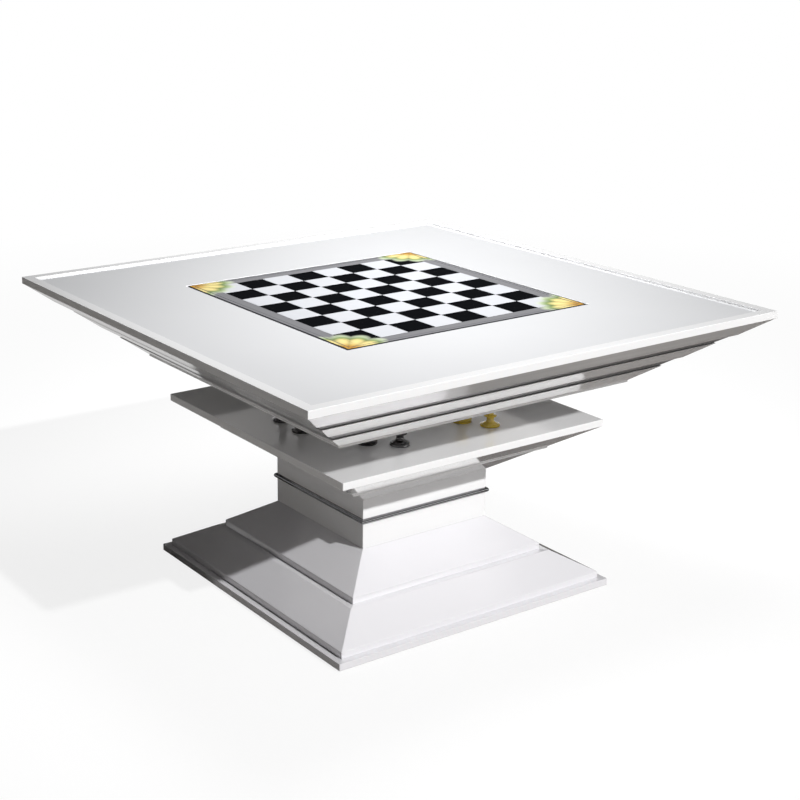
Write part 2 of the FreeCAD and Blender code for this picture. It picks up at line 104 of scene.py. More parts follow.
def mixed_colour(tree, share, first, second):
    made = add_node(tree, "ShaderNodeMix", data_type="RGBA")
    for socket, value in ((MIX_SHARE, share), (MIX_FIRST, first), (MIX_SECOND, second)):
        feed(tree, made.inputs[socket], value)
    return made.outputs[MIX_COLOUR]


def new_material(name):
    material = bpy.data.materials.new(name)
    material.use_nodes = True
    material.node_tree.nodes.clear()
    return material, material.node_tree


bpy.ops.object.select_all(action="DESELECT")
bpy.ops.mesh.primitive_grid_add(x_subdivisions=FLOOR_CUTS, y_subdivisions=FLOOR_CUTS, size=FLOOR_SIZE)
floor = bpy.context.object
floor.name = "floor"
floor_paint, tree = new_material("floor_paint")
rays = add_node(tree, "ShaderNodeLightPath").outputs
place = object_place(tree)
reach = add_node(tree, "ShaderNodeVectorMath", {0: place}, operation="LENGTH")
floor_parts = add_node(tree, "ShaderNodeSeparateXYZ", {0: place}).outputs
in_lens = rays["Is Camera Ray"]
in_gloss = math_node(tree, "MAXIMUM", rays["Is Glossy Ray"], rays["Is Transmission Ray"])
far_off = ranged(tree, reach.outputs["Value"], SHADOW_REACH, LENS_GLOW)
behind = ranged(tree, floor_parts["Y"], BEHIND_REACH, GLOSS_GLOW)
beside = ranged(tree, floor_parts["X"], BESIDE_REACH, RISING)
gloss_glow = math_node(tree, "MULTIPLY", in_gloss, math_node(tree, "MULTIPLY", behind, beside))
glow = math_node(tree, "ADD", math_node(tree, "MULTIPLY", in_lens, far_off), gloss_glow)
bounced = mixed_colour(tree, in_gloss, FLOOR_BOUNCE, FLOOR_IN_GLOSS)
matt = add_node(tree, "ShaderNodeBsdfDiffuse", {"Color": mixed_colour(tree, in_lens, bounced, FLOOR_WHITE)})
white = add_node(tree, "ShaderNodeEmission", {"Strength": WHITE_GLOW})
blend = add_node(tree, "ShaderNodeMixShader", {"Fac": glow, 1: matt.outputs[0], 2: white.outputs[0]})
add_node(tree, "ShaderNodeOutputMaterial", {"Surface": blend.outputs[0]})
floor.data.materials.append(floor_paint)

# Studio light: a small lamp high in front draws the clear shadow edges. Two wide soft panels, one low
# on the right and one high, fill under the boards and on the slopes, and a long one hangs over the top.
# The room is dim, though the lens sees it white and the gloss mirrors a bright low band.
KEY_STRENGTH, KEY_ANGLE, KEY_FROM = 3.0, math.radians(1.5), Vector((0.18, -1.0, 0.79))
FRONT_POWER, FRONT_SIZE = 16.0, (2.8, 0.7)
FRONT_PLACE, FRONT_AIM = Vector((1.9, -3.6, 0.45)), Vector((1.9, 0, 0.45))
HIGH_POWER, HIGH_SIZE = 6.0, (2.6, 0.8)
HIGH_PLACE, HIGH_AIM = Vector((0.9, -3.6, 2.5)), Vector((0.3, 0, 0.3))
OVER_POWER, OVER_SIZE, OVER_SPREAD = 21.0, (0.45, 2.5), math.radians(80)
OVER_PLACE = Vector((0.42, 0.43, 2.4))
DIM_ROOM, ROOM_WHITE = 0.018, (1, 1, 1, 1)
LOW_BAND, FALLING = (0.12, 0.19), (1.0, 0.0)


def add_lamp(name, kind, power, turn):
    data = bpy.data.lights.new(name, kind)
    data.energy = power
    lamp = bpy.data.objects.new(name, data)
    bpy.context.scene.collection.objects.link(lamp)
    lamp.rotation_euler = turn
    return lamp


def soft_panel(name, power, size, place_at, turn):
    lamp = add_lamp(name, "AREA", power, turn)
    lamp.data.shape = "RECTANGLE"
    lamp.data.size, lamp.data.size_y = size
    lamp.location = place_at
    lamp.visible_camera = False
    return lamp


def aimed(place_at, aim):
    return (aim - place_at).to_track_quat("-Z", "Y").to_euler()


key_lamp = add_lamp("key_lamp", "SUN", KEY_STRENGTH, KEY_FROM.to_track_quat("Z", "Y").to_euler())
key_lamp.data.angle = KEY_ANGLE
soft_panel("front_panel", FRONT_POWER, FRONT_SIZE, FRONT_PLACE, aimed(FRONT_PLACE, FRONT_AIM))
soft_panel("high_panel", HIGH_POWER, HIGH_SIZE, HIGH_PLACE, aimed(HIGH_PLACE, HIGH_AIM))
over_panel = soft_panel("over_panel", OVER_POWER, OVER_SIZE, OVER_PLACE, (0, 0, CAMERA_TURN))
over_panel.visible_glossy = False
over_panel.data.spread = OVER_SPREAD
room = bpy.data.worlds.new("room")
bpy.context.scene.world = room
room.use_nodes = True
tree = room.node_tree
tree.nodes.clear()
rays = add_node(tree, "ShaderNodeLightPath").outputs
seen_along = add_node(tree, "ShaderNodeTexCoord").outputs["Generated"]
height_part = add_node(tree, "ShaderNodeSeparateXYZ", {0: seen_along}).outputs["Z"]
low_gloss = math_node(tree, "MULTIPLY", rays["Is Glossy Ray"], ranged(tree, height_part, LOW_BAND, FALLING))
bright = math_node(tree, "MAXIMUM", rays["Is Camera Ray"], low_gloss)
level = math_node(tree, "MAXIMUM", bright, DIM_ROOM)
air = add_node(tree, "ShaderNodeBackground", {"Color": ROOM_WHITE, "Strength": level})
add_node(tree, "ShaderNodeOutputWorld", {"Surface": air.outputs[0]})

# Glide pads: four round hard felt pads under the base slab's corners, pressed on with their own
# adhesive. They lift the lacquered slab two millimetres off the floor.
COLOUR, NUMBER, VECTOR = "NodeSocketColor", "NodeSocketFloat", "NodeSocketVector"
NOISE_SCALE, STRAIGHT = 1.0, 0.0
PAD_FELT = {"Ground": (0.055, 0.05, 0.047, 1), "Fleck": (0.12, 0.11, 0.1, 1),
            "Stretch": (900.0, 900.0, 900.0), "Detail": 4.0, "Fineness": 0.7, "Bend": STRAIGHT}
PAD_NAP = {"Strength": 0.6, "Distance": 0.0004}
PAD_FINISH = {"Roughness": 0.95, "Sheen Weight": 0.3}


def new_group(name, given, made):
    group = bpy.data.node_groups.new(name, "ShaderNodeTree")
    for socket, kind in given.items():
        group.interface.new_socket(socket, in_out="INPUT", socket_type=kind)
    for socket, kind in made.items():
        group.interface.new_socket(socket, in_out="OUTPUT", socket_type=kind)
    return group, add_node(group, "NodeGroupInput").outputs


def texture(tree, kind, values, stretch=None):
    where = object_place(tree)
    if stretch is not None:
        where = add_node(tree, "ShaderNodeMapping", {"Vector": where, "Scale": stretch}).outputs["Vector"]
    return add_node(tree, kind, {"Vector": where, **values}).outputs["Fac"]


fine_grain, given = new_group("fine_grain", {"Ground": COLOUR, "Fleck": COLOUR, "Stretch": VECTOR,
                                              "Detail": NUMBER, "Fineness": NUMBER, "Bend": NUMBER},
                              {"Colour": COLOUR, "Grain": NUMBER})
grain = texture(fine_grain, "ShaderNodeTexNoise",
                {"Scale": NOISE_SCALE, "Detail": given["Detail"], "Roughness": given["Fineness"],
                 "Distortion": given["Bend"]}, given["Stretch"])
add_node(fine_grain, "NodeGroupOutput",
         {"Colour": mixed_colour(fine_grain, grain, given["Ground"], given["Fleck"]), "Grain": grain})


def grained(name, grain_values, finish, relief=None):
    material, tree = new_material(name)
    grain = add_node(tree, "ShaderNodeGroup", grain_values, node_tree=fine_grain).outputs
    surface = add_node(tree, "ShaderNodeBsdfPrincipled", {"Base Color": grain["Colour"], **finish})
    if relief:
        bump = add_node(tree, "ShaderNodeBump", {"Height": grain["Grain"], **relief})
        feed(tree, surface.inputs["Normal"], bump.outputs["Normal"])
    add_node(tree, "ShaderNodeOutputMaterial", {"Surface": surface.outputs[0]})
    return material


def finish_cad_node(name, material):
    nodes[name].data.materials.clear()
    nodes[name].data.materials.append(material)


finish_cad_node("glide_pads", grained("pad_felt", PAD_FELT, PAD_FINISH, PAD_NAP))

# Base slab: a 16 mm board, primed, sprayed white and polished, with its arrises eased by hand. All
# the lacquered boards of the table share this finish, with long shallow waves along the boards. The
# slab and the plinths take a greyer copy of the white, painted shade for the foot under the top.
ARRIS, ARRIS_STEPS = 0.0011, 3
CREASE, FLAT_WEIGHT = math.radians(32), 100
SAME_POINT, SAME_PLANE = 0.00002, math.radians(1)
WHITE_LACQUER = (0.9, 0.9, 0.905, 1)
# Painted shade: the foot lacquer is the same white lacquer painted greyer.
FOOT_PAINTED_SHADE = (0.78, 0.772, 0.797, 1)
LACQUER_IOR, LACQUER_COAT, RELIEF_STRENGTH = 1.5, 1.0, 0.5
WAVES, WAVE_STRETCH = {"Scale": NOISE_SCALE, "Detail": 2.0, "Roughness": 0.5}, (1.4, 1.4, 42.0)
PEEL, PEEL_SHARE = {"Scale": 420.0, "Detail": 1.0}, 0.02
CLOUDS, CLOUD_MIDDLE, PLAIN_TONE = {"Scale": 3.2, "Detail": 4.0, "Roughness": 0.55}, 0.5, 1.0
DUST, DUST_SHARE, DUST_TONE = {"Scale": 160.0, "Detail": 3.0, "Roughness": 0.8}, (0.7, 0.78), (1.0, 0.93)
WIPED_SHARE, WIPED_HAZE = (0.3, 0.7), (0.0, 0.06)


def toned(tree, colour, tone):
    made = add_node(tree, "ShaderNodeVectorMath", {0: colour, "Scale": tone}, operation="SCALE")
    return made.outputs["Vector"]


sprayed_lacquer, given = new_group("sprayed_lacquer",
                                   {"Paint": COLOUR, "Clouding": NUMBER, "Gloss Floor": NUMBER},
                                   {"Colour": COLOUR, "Roughness": NUMBER, "Height": NUMBER})
waves = texture(sprayed_lacquer, "ShaderNodeTexNoise", WAVES, WAVE_STRETCH)
peel = texture(sprayed_lacquer, "ShaderNodeTexNoise", PEEL)
clouds = texture(sprayed_lacquer, "ShaderNodeTexNoise", CLOUDS)
dust = texture(sprayed_lacquer, "ShaderNodeTexNoise", DUST)
centred = math_node(sprayed_lacquer, "SUBTRACT", clouds, CLOUD_MIDDLE)
shade = math_node(sprayed_lacquer, "MULTIPLY_ADD", centred, given["Clouding"], PLAIN_TONE)
tone = math_node(sprayed_lacquer, "MULTIPLY", shade, ranged(sprayed_lacquer, dust, DUST_SHARE, DUST_TONE))
wiped = ranged(sprayed_lacquer, clouds, WIPED_SHARE, WIPED_HAZE)
fine_peel = math_node(sprayed_lacquer, "MULTIPLY", peel, PEEL_SHARE)
add_node(sprayed_lacquer, "NodeGroupOutput",
         {"Colour": toned(sprayed_lacquer, given["Paint"], tone),
          "Roughness": math_node(sprayed_lacquer, "ADD", given["Gloss Floor"], wiped),
          "Height": math_node(sprayed_lacquer, "ADD", waves, fine_peel)})


def lacquer(name, paint, clouding=0.04, gloss_floor=0.07, wave_depth=0.002):
    material, tree = new_material(name)
    skin_values = {"Paint": paint, "Clouding": clouding, "Gloss Floor": gloss_floor}
    skin = add_node(tree, "ShaderNodeGroup", skin_values, node_tree=sprayed_lacquer).outputs
    relief = add_node(tree, "ShaderNodeBump", {"Height": skin["Height"], "Strength": RELIEF_STRENGTH,
                                                "Distance": wave_depth})
    surface = add_node(tree, "ShaderNodeBsdfPrincipled",
                       {"Base Color": skin["Colour"], "Roughness": skin["Roughness"],
                        "Normal": relief.outputs["Normal"], "IOR": LACQUER_IOR, "Coat Weight": LACQUER_COAT,
                        "Coat Roughness": gloss_floor})
    add_node(tree, "ShaderNodeOutputMaterial", {"Surface": surface.outputs[0]})
    return material


def only_active(piece):
    bpy.ops.object.select_all(action="DESELECT")
    piece.select_set(True)
    bpy.context.view_layer.objects.active = piece


def ease_arrises(piece, width):
    only_active(piece)
    eased = piece.modifiers.new("eased", "BEVEL")
    eased.width = width
    eased.segments = ARRIS_STEPS
    eased.limit_method = "ANGLE"
    eased.angle_limit = CREASE
    bpy.ops.object.modifier_apply(modifier=eased.name)
    bpy.ops.object.shade_smooth_by_angle(angle=CREASE)
    flat = piece.modifiers.new("flat", "WEIGHTED_NORMAL")
    flat.mode = "FACE_AREA"
    flat.weight = FLAT_WEIGHT
    flat.keep_sharp = True
    bpy.ops.object.modifier_apply(modifier=flat.name)


def dress(piece, material, slot_name, *stands_for):
    piece.data.materials.clear()
    piece.data.materials.append(material)
    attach(piece, "root")
    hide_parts(*stands_for)


def board_from_cad(name, material, slot_name="white_lacquer"):
    piece = nodes[name].copy()
    piece.data = nodes[name].data.copy()
    piece.name = name + "_eased"
    bpy.context.scene.collection.objects.link(piece)
    piece.parent = None
    only_active(piece)
    bpy.ops.object.mode_set(mode="EDIT")
    bpy.ops.mesh.select_all(action="SELECT")
    bpy.ops.mesh.remove_doubles(threshold=SAME_POINT)
    bpy.ops.mesh.dissolve_limited(angle_limit=SAME_PLANE)
    bpy.ops.object.mode_set(mode="OBJECT")
    ease_arrises(piece, ARRIS)
    dress(piece, material, slot_name, name)


white_lacquer = lacquer("white_lacquer", WHITE_LACQUER)
foot_shaded_lacquer = lacquer("foot_shaded_lacquer", FOOT_PAINTED_SHADE, gloss_floor=0.08)
board_from_cad("base_slab", foot_shaded_lacquer)

# Tie rod, nuts and washers: a zinc-plated threaded rod through post and neck pulls the top's closing
# panel down on the base slab. The nuts sit in a counterbore below and on a washer above.
EVEN = 0.5
STEEL = {"Ground": (0.46, 0.46, 0.45, 1), "Fleck": (0.62, 0.62, 0.6, 1),
         "Stretch": (260.0, 260.0, 900.0), "Detail": 3.0, "Fineness": EVEN, "Bend": STRAIGHT}
STEEL_TURNS = {"Strength": 0.4, "Distance": 0.0002}
STEEL_FINISH = {"Metallic": 1.0, "Roughness": 0.34}
plated_steel = grained("plated_steel", STEEL, STEEL_FINISH, STEEL_TURNS)
for hidden_steel in ("tie_rod", "tie_rod_nuts", "tie_rod_washers"):
    finish_cad_node(hidden_steel, plated_steel)

# Core post and corner blocks: planed pine inside the base and column, glued to the slab and behind
# the mitres. The post carries the top's weight down to the slab.
PINE_EARLY, PINE_LATE = (0.72, 0.52, 0.3, 1), (0.48, 0.29, 0.13, 1)
PINE_RINGS, PINE_STRETCH = {"Scale": NOISE_SCALE, "Distortion": 3.0, "Detail": 2.0}, (26.0, 26.0, 1.6)
PINE_PLANED = {"Strength": 0.3, "Distance": 0.0005}
PINE_ROUGHNESS = 0.62
pine, tree = new_material("pine")
rings = texture(tree, "ShaderNodeTexWave", PINE_RINGS, PINE_STRETCH)
planed = add_node(tree, "ShaderNodeBump", {"Height": rings, **PINE_PLANED})
timber = add_node(tree, "ShaderNodeBsdfPrincipled",
                  {"Base Color": mixed_colour(tree, rings, PINE_EARLY, PINE_LATE),
                   "Normal": planed.outputs["Normal"], "Roughness": PINE_ROUGHNESS})
add_node(tree, "ShaderNodeOutputMaterial", {"Surface": timber.outputs[0]})
for hidden_timber in ("core_post", "column_corner_blocks"):
    finish_cad_node(hidden_timber, pine)

# Plinths: two tiers of four lacquered boards, mitred at the corners and filled before spraying, so
# each tier reads as one skin: a small upright riser, then the slope up to the next tier. The sections
# list each corner's distance from the table's middle and its height.
LOWER_PLINTH = [(0.357, 0.018), (0.357, 0.033), (0.278, 0.078), (0.244, 0.078), (0.347, 0.018)]
UPPER_PLINTH = [(0.262, 0.078), (0.262, 0.093), (0.172, 0.151), (0.138, 0.151), (0.252, 0.078)]
SIDES = ("back", "left", "front", "right")


def four_boards(stem):
    return [stem + "_" + side for side in SIDES]


def follow_outline(start, corners):
    half, height = start
    for next_half, next_height in corners:
        bpy.ops.mesh.extrude_edges_move(TRANSFORM_OT_translate={"value": (0, 0, next_height - height)})
        spread = next_half / half
        bpy.ops.transform.resize(value=(spread, spread, 1), center_override=(0, 0, 0))
        half, height = next_half, next_height


def mitred_tier(name, section, material, stands_for, slot_name="white_lacquer", arris=ARRIS):
    bpy.ops.object.select_all(action="DESELECT")
    half, height = section[0]
    bpy.ops.mesh.primitive_circle_add(vertices=len(SIDES), radius=half * math.sqrt(2),
                                      location=(0, 0, height), rotation=(0, 0, math.pi / len(SIDES)))
    piece = bpy.context.object
    piece.name = name
    bpy.ops.object.transform_apply(location=True, rotation=True, scale=True)
    bpy.ops.object.mode_set(mode="EDIT")
    bpy.ops.mesh.select_all(action="SELECT")
    follow_outline(section[0], section[1:] + section[:1])
    bpy.ops.mesh.select_all(action="SELECT")
    bpy.ops.mesh.remove_doubles(threshold=SAME_POINT)
    bpy.ops.mesh.normals_make_consistent(inside=False)
    bpy.ops.object.mode_set(mode="OBJECT")
    ease_arrises(piece, arris)
    dress(piece, material, slot_name, *stands_for)


# The plinths take the greyer foot lacquer, painted shade.
for tier, section in (("lower_plinth", LOWER_PLINTH), ("upper_plinth", UPPER_PLINTH)):
    mitred_tier(tier, section, foot_shaded_lacquer, four_boards(tier))

# Column: four upright lacquered panels standing on the upper plinth, mitred and glued round the
# corner blocks.
COLUMN_LOW, COLUMN_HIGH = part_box("column_panel_front")
COLUMN_INSIDE = 0.154


def upright_walls(low, high, inside):
    return [(high.x, low.z), (high.x, high.z), (inside, high.z), (inside, low.z)]


mitred_tier("column", upright_walls(COLUMN_LOW, COLUMN_HIGH, COLUMN_INSIDE), white_lacquer,
            four_boards("column_panel"))

# Bead: four half-round strips of polished metal, mitred at the corners and pinned round the column,
# with fine buffing lines along them. The metal is painted dark grey, a painted reflection of the dark
# surroundings it mirrors.
BEAD_MIDDLE, BEAD_RADIUS, BEAD_STEPS, BEAD_ARRIS = 0.215, 0.006, 12, 0.0001
# Painted reflection: these dark grey metal colours stand in for the dark room mirrored in the bead.
BEAD_LINES_PAINTED_DARK = {"Ground": (0.22, 0.22, 0.225, 1), "Fleck": (0.32, 0.32, 0.33, 1),
              "Stretch": (30.0, 30.0, 2200.0), "Detail": 2.0, "Fineness": EVEN, "Bend": STRAIGHT}
BEAD_METALLIC, BEAD_HAZE = 1.0, (0.05, 0.14)
bead_turns = [math.pi * step / BEAD_STEPS for step in range(BEAD_STEPS + 1)]
bead_arc = [(COLUMN_HIGH.x + BEAD_RADIUS * math.sin(turn), BEAD_MIDDLE - BEAD_RADIUS * math.cos(turn))
            for turn in bead_turns]
polished_metal, tree = new_material("polished_metal")
lines = add_node(tree, "ShaderNodeGroup", BEAD_LINES_PAINTED_DARK, node_tree=fine_grain).outputs
haze = ranged(tree, lines["Grain"], RISING, BEAD_HAZE)
metal = add_node(tree, "ShaderNodeBsdfPrincipled", {"Base Color": lines["Colour"], "Roughness": haze,
                                                     "Metallic": BEAD_METALLIC})
add_node(tree, "ShaderNodeOutputMaterial", {"Surface": metal.outputs[0]})
mitred_tier("bead", bead_arc, polished_metal, ["column_beads"], "polished_metal", BEAD_ARRIS)

# Flares: two tiers of mitred boards under the shelf that spread outwards, glued up like the plinths.
# The upper one stands proud of the lower by a small lip.
LOWER_FLARE = [(0.172, 0.266), (0.262, 0.325), (0.228, 0.325), (0.138, 0.266)]
UPPER_FLARE = [(0.268, 0.325), (0.268, 0.329), (0.352, 0.384), (0.318, 0.384), (0.234, 0.325)]
for tier, section in (("lower_flare", LOWER_FLARE), ("upper_flare", UPPER_FLARE)):
    mitred_tier(tier, section, white_lacquer, four_boards(tier))

# Shelf and neck: the shelf slab lies on the flares, and the neck's four panels stand on it and carry
# the top's closing panel, hidden in the shade between the two.
NECK_LOW, NECK_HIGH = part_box("neck_panel_front")
NECK_INSIDE = 0.102
board_from_cad("shelf_slab", white_lacquer)
mitred_tier("neck", upright_walls(NECK_LOW, NECK_HIGH, NECK_INSIDE), white_lacquer, four_boards("neck_panel"))
board_from_cad("closing_panel", white_lacquer)

# Steps under the top: three tiers of mitred boards rising outwards like an upturned pyramid. A strip
# is set back above each of the lower two, lacquered dark grey as painted shade for the recess, and
# draws the thin shadow lines.
LOWER_STEP = [(0.386, 0.490), (0.386, 0.494), (0.436, 0.531), (0.402, 0.531), (0.352, 0.508), (0.352, 0.490)]
MIDDLE_STEP = [(0.466, 0.552), (0.514, 0.588), (0.480, 0.588), (0.432, 0.552)]
UPPER_STEP = [(0.545, 0.608), (0.599, 0.649), (0.563, 0.649), (0.563, 0.631), (0.505, 0.631), (0.505, 0.608)]
# Painted shade: this grey stands in for the shade in the recesses above the lower two steps.
RECESS_SHADE_GREY = (0.17, 0.17, 0.175, 1)
for tier, section in (("lower_step", LOWER_STEP), ("middle_step", MIDDLE_STEP), ("upper_step", UPPER_STEP)):
    mitred_tier(tier, section, white_lacquer, four_boards(tier))
shadow_lacquer = lacquer("shadow_lacquer", RECESS_SHADE_GREY, clouding=0.1, gloss_floor=0.45, wave_depth=0.001)
for strips in ("lower_shadow_strips", "upper_shadow_strips"):
    finish_cad_node(strips, shadow_lacquer)

# Ribs and sub-top: raw chipboard inside the top, which no one sees. The ribs stand on the closing
# panel, and the sub-top lies on them and on the upper step.
RAW_BOARD = {"Ground": (0.36, 0.25, 0.15, 1), "Fleck": (0.55, 0.41, 0.27, 1),
             "Stretch": (320.0, 320.0, 320.0), "Detail": 5.0, "Fineness": 0.7, "Bend": STRAIGHT}
RAW_FINISH = {"Roughness": 0.8}
raw_board = grained("raw_board", RAW_BOARD, RAW_FINISH)
for hidden_board in ("top_ribs", "sub_top"):
    finish_cad_node(hidden_board, raw_board)

# Rim and inset panel: four mitred rails stand a few millimetres above the wide inset panel, whose
# middle is sunk for the glass chessboard. Both are lacquered like the rest. The rails' white is painted
# a little brighter than the other boards, as painted light on the rim top.
RIM_LOW, RIM_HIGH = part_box("rim_rail_front")
RIM_INSIDE, RIM_ARRIS = 0.576, 0.0007
# Painted light: the rim lacquer is the white lacquer painted a little brighter.
RIM_LIT_WHITE, PANEL_LACQUER = (0.93, 0.93, 0.935, 1), (0.8, 0.805, 0.82, 1)
rim_lit_lacquer = lacquer("rim_lit_lacquer", RIM_LIT_WHITE, clouding=0.03)
mitred_tier("rim", upright_walls(RIM_LOW, RIM_HIGH, RIM_INSIDE), rim_lit_lacquer, four_boards("rim_rail"),
            arris=RIM_ARRIS)
panel_lacquer = lacquer("panel_lacquer", PANEL_LACQUER, clouding=0.03, gloss_floor=0.05, wave_depth=0.001)
board_from_cad("top_panel", panel_lacquer)

# Chessboard: one sheet of grey back-painted glass lies flush in the panel with a dark seal round it.
# Sixty-four glass squares are let into it, and a fan ornament is printed over the board's corners.
BOARD_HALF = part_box("board_glass")[1].x
TILE_LOW, TILE_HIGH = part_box("dark_squares")
TILE_PITCH, TILE_GAP, TILE_ARRIS, TILE_COUNT = 0.07, 0.0007, 0.0004, 8
BORDER_GREY, SEAM_PALE = (0.2, 0.2, 0.21, 1), (0.72, 0.73, 0.74, 1)
SEAL_DARK, LINE_GREY = (0.03, 0.03, 0.035, 1), (0.12, 0.12, 0.13, 1)
SEAL_WIDTH, LINE_PLACE, LINE_WIDTH = 0.0032, 0.012, 0.0022
SQUARE_DARK, SQUARE_LIGHT = (0.0018, 0.0022, 0.0032, 1), (0.56, 0.57, 0.6, 1)
GLASS_CLOUDS, GLASS_TONE = {"Scale": 9.0, "Detail": 3.0}, (0.96, 1.04)
GLASS_SMEAR, GLASS_IOR = (0.02, 0.07), 1.5
FAN_AMBER, FAN_GOLD = (0.5, 0.27, 0.05, 1), (0.74, 0.62, 0.26, 1)
FAN_LEAF, FAN_MIST = (0.22, 0.3, 0.12, 1), (0.6, 0.66, 0.5, 1)
FAN_BANDS = [(0.22, FAN_AMBER), (0.45, FAN_GOLD), (0.62, FAN_GOLD), (0.76, FAN_LEAF), (0.95, FAN_MIST)]
FAN_REACH, FAN_SCALLOP, FAN_RAYS = 0.1, 0.014, 7.0
FAN_RAY_TONE, FAN_EDGE = (0.68, 1.06), (0.86, 1.0)


def painted_glass_group():
    group, given = new_group("painted_glass", {"Ground": COLOUR}, {"Colour": COLOUR, "Roughness": NUMBER})
    cloud = texture(group, "ShaderNodeTexNoise", GLASS_CLOUDS)
    paint = toned(group, given["Ground"], ranged(group, cloud, RISING, GLASS_TONE))
    parts = add_node(group, "ShaderNodeSeparateXYZ", {0: object_place(group)}).outputs
    from_x = math_node(group, "SUBTRACT", BOARD_HALF, math_node(group, "ABSOLUTE", parts["X"]))
    from_y = math_node(group, "SUBTRACT", BOARD_HALF, math_node(group, "ABSOLUTE", parts["Y"]))
    corner = add_node(group, "ShaderNodeCombineXYZ", {"X": from_x, "Y": from_y})
    away = add_node(group, "ShaderNodeVectorMath", {0: corner.outputs[0]}, operation="LENGTH")
    turned = math_node(group, "MULTIPLY", math_node(group, "ARCTAN2", from_y, from_x), FAN_RAYS)
    petal = math_node(group, "ABSOLUTE", math_node(group, "SINE", turned))
    edge = math_node(group, "ADD", math_node(group, "MULTIPLY", petal, FAN_SCALLOP), FAN_REACH)
    share = math_node(group, "DIVIDE", away.outputs["Value"], edge)
    bands = add_node(group, "ShaderNodeValToRGB", {"Fac": share})
    ramp = bands.color_ramp.elements
    ramp[0].position, ramp[0].color = FAN_BANDS[0]
    ramp[1].position, ramp[1].color = FAN_BANDS[-1]
    for position, colour in FAN_BANDS[1:-1]:
        ramp.new(position).color = colour
    rayed = toned(group, bands.outputs["Color"], ranged(group, petal, RISING, FAN_RAY_TONE))
    inside = ranged(group, share, FAN_EDGE, FALLING)
    add_node(group, "NodeGroupOutput", {"Colour": mixed_colour(group, inside, paint, rayed),
                                        "Roughness": ranged(group, cloud, RISING, GLASS_SMEAR)})
    return group


painted_glass = painted_glass_group()


def border_lines(tree, colour):
    parts = add_node(tree, "ShaderNodeSeparateXYZ", {0: object_place(tree)}).outputs
    outer = math_node(tree, "MAXIMUM", math_node(tree, "ABSOLUTE", parts["X"]),
                      math_node(tree, "ABSOLUTE", parts["Y"]))
    from_line = math_node(tree, "ABSOLUTE", math_node(tree, "SUBTRACT", outer, BOARD_HALF - LINE_PLACE))
    for measured, side, edge, line in ((outer, "GREATER_THAN", BOARD_HALF - SEAL_WIDTH, SEAL_DARK),
                                       (from_line, "LESS_THAN", LINE_WIDTH / 2, LINE_GREY),
                                       (outer, "LESS_THAN", TILE_HIGH.x, SEAM_PALE)):
        colour = mixed_colour(tree, math_node(tree, side, measured, edge), colour, line)
    return colour


def back_painted_glass(name, ground, is_border=False):
    material, tree = new_material(name)
    printed = add_node(tree, "ShaderNodeGroup", node_tree=painted_glass)
    feed(tree, printed.inputs["Ground"], ground)
    colour = printed.outputs["Colour"]
    if is_border:
        colour = border_lines(tree, colour)
    sheet = add_node(tree, "ShaderNodeBsdfPrincipled",
                     {"Base Color": colour, "Roughness": printed.outputs["Roughness"], "IOR": GLASS_IOR})
    add_node(tree, "ShaderNodeOutputMaterial", {"Surface": sheet.outputs[0]})
    return material


border_glass = back_painted_glass("border_glass", BORDER_GREY, is_border=True)
dark_glass = back_painted_glass("dark_glass", SQUARE_DARK)
light_glass = back_painted_glass("light_glass", SQUARE_LIGHT)
board_from_cad("board_glass", border_glass, "border_glass")
bpy.ops.object.select_all(action="DESELECT")
bpy.ops.mesh.primitive_cube_add(size=1, location=(0, 0, (TILE_LOW.z + TILE_HIGH.z) / 2))
tile = bpy.context.object
tile.scale = (TILE_PITCH - TILE_GAP, TILE_PITCH - TILE_GAP, TILE_HIGH.z - TILE_LOW.z)
bpy.ops.object.transform_apply(location=True, rotation=True, scale=True)
ease_arrises(tile, TILE_ARRIS)


def copy_to(model, place_at):
    made = model.copy()
    made.data = model.data.copy()
    bpy.context.scene.collection.objects.link(made)
    made.data.transform(Matrix.Translation(place_at))
    return made


def join_pieces(name, pieces):
    bpy.ops.object.select_all(action="DESELECT")
    for piece in pieces:
        piece.select_set(True)
    bpy.context.view_layer.objects.active = pieces[0]
    bpy.ops.object.join()
    pieces[0].name = name
    return pieces[0]


def tiles_of(parity):
    first = -TILE_PITCH * (TILE_COUNT - 1) / 2
    return [
        copy_to(tile, (first + TILE_PITCH * column, first + TILE_PITCH * row, 0))
        for column in range(TILE_COUNT) for row in range(TILE_COUNT) if (column + row) % 2 == parity
    ]


dress(join_pieces("dark_tiles", tiles_of(0)), dark_glass, "dark_glass", "dark_squares")
dress(join_pieces("light_tiles", tiles_of(1)), light_glass, "light_glass", "light_squares")
bpy.data.objects.remove(tile)

